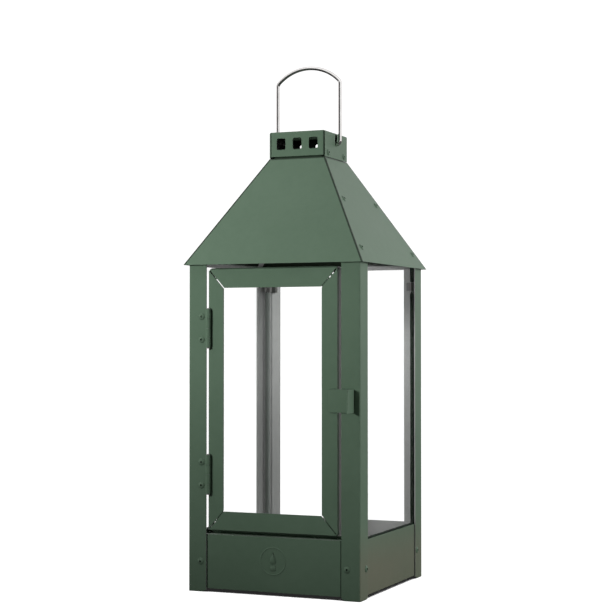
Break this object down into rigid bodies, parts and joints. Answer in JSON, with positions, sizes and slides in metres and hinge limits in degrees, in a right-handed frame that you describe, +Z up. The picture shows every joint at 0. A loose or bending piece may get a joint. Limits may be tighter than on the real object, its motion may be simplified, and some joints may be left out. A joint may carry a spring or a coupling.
{
  "type": "candle lantern",
  "caption": "Square painted sheet-steel candle lantern with a hipped roof, a vented chimney, a glazed hinged door and a swinging wire handle.",
  "frame": {"origin": "middle of the body on the plane that the post feet stand on", "axes": "+Z up along the lantern's height, -Y towards the door, +X to the right of someone who faces the door"},
  "size_m": [0.178, 0.19, 0.4945],
  "materials": {
    "paint": "satin grey-green paint",
    "bare_steel": "dull grey steel",
    "polished_wire": "polished stainless wire",
    "glass": "clear polished"
  },
  "bodies": {
    "body": {"post_front_left": "paint", "post_front_right": "paint", "post_rear_left": "paint", "post_rear_right": "paint", "skirt_front": "paint", "skirt_rear": "paint", "skirt_left": "paint", "skirt_right": "paint", "floor_tray": "bare_steel", "glass_left": "glass", "glass_right": "glass", "glass_rear": "glass", "glass_clips": "bare_steel", "roof_front": "paint", "roof_rear": "paint", "roof_left": "paint", "roof_right": "paint", "chimney_front": "paint", "chimney_rear": "paint", "chimney_hood": "paint", "hinge_upper_post_leaf": "paint", "hinge_upper_pin": "bare_steel", "hinge_lower_post_leaf": "paint", "hinge_lower_pin": "bare_steel", "base_rivets": "paint", "hinge_rivets": "paint", "roof_rivets": "paint", "chimney_rivets": "paint"},
    "door": {"door_rail_top": "paint", "door_rail_bottom": "paint", "door_stile_hinge": "paint", "door_stile_latch": "paint", "door_glass": "glass", "door_glass_frame": "bare_steel", "pull_tab": "paint", "hinge_upper_door_leaf": "paint", "hinge_lower_door_leaf": "paint"},
    "handle": {"handle": "polished_wire"}
  },
  "joints": [
    {"name": "door_swing", "type": "hinge", "parent": "body", "child": "door", "pos_m": [-0.0639, -0.0874, 0.1756], "axis": [0, 0, -1], "range_deg": [0, 185]},
    {"name": "handle_swing", "type": "hinge", "parent": "body", "child": "handle", "pos_m": [0, 0, 0.418], "axis": [1, 0, 0], "range_deg": [-112, 112]}
  ]
}
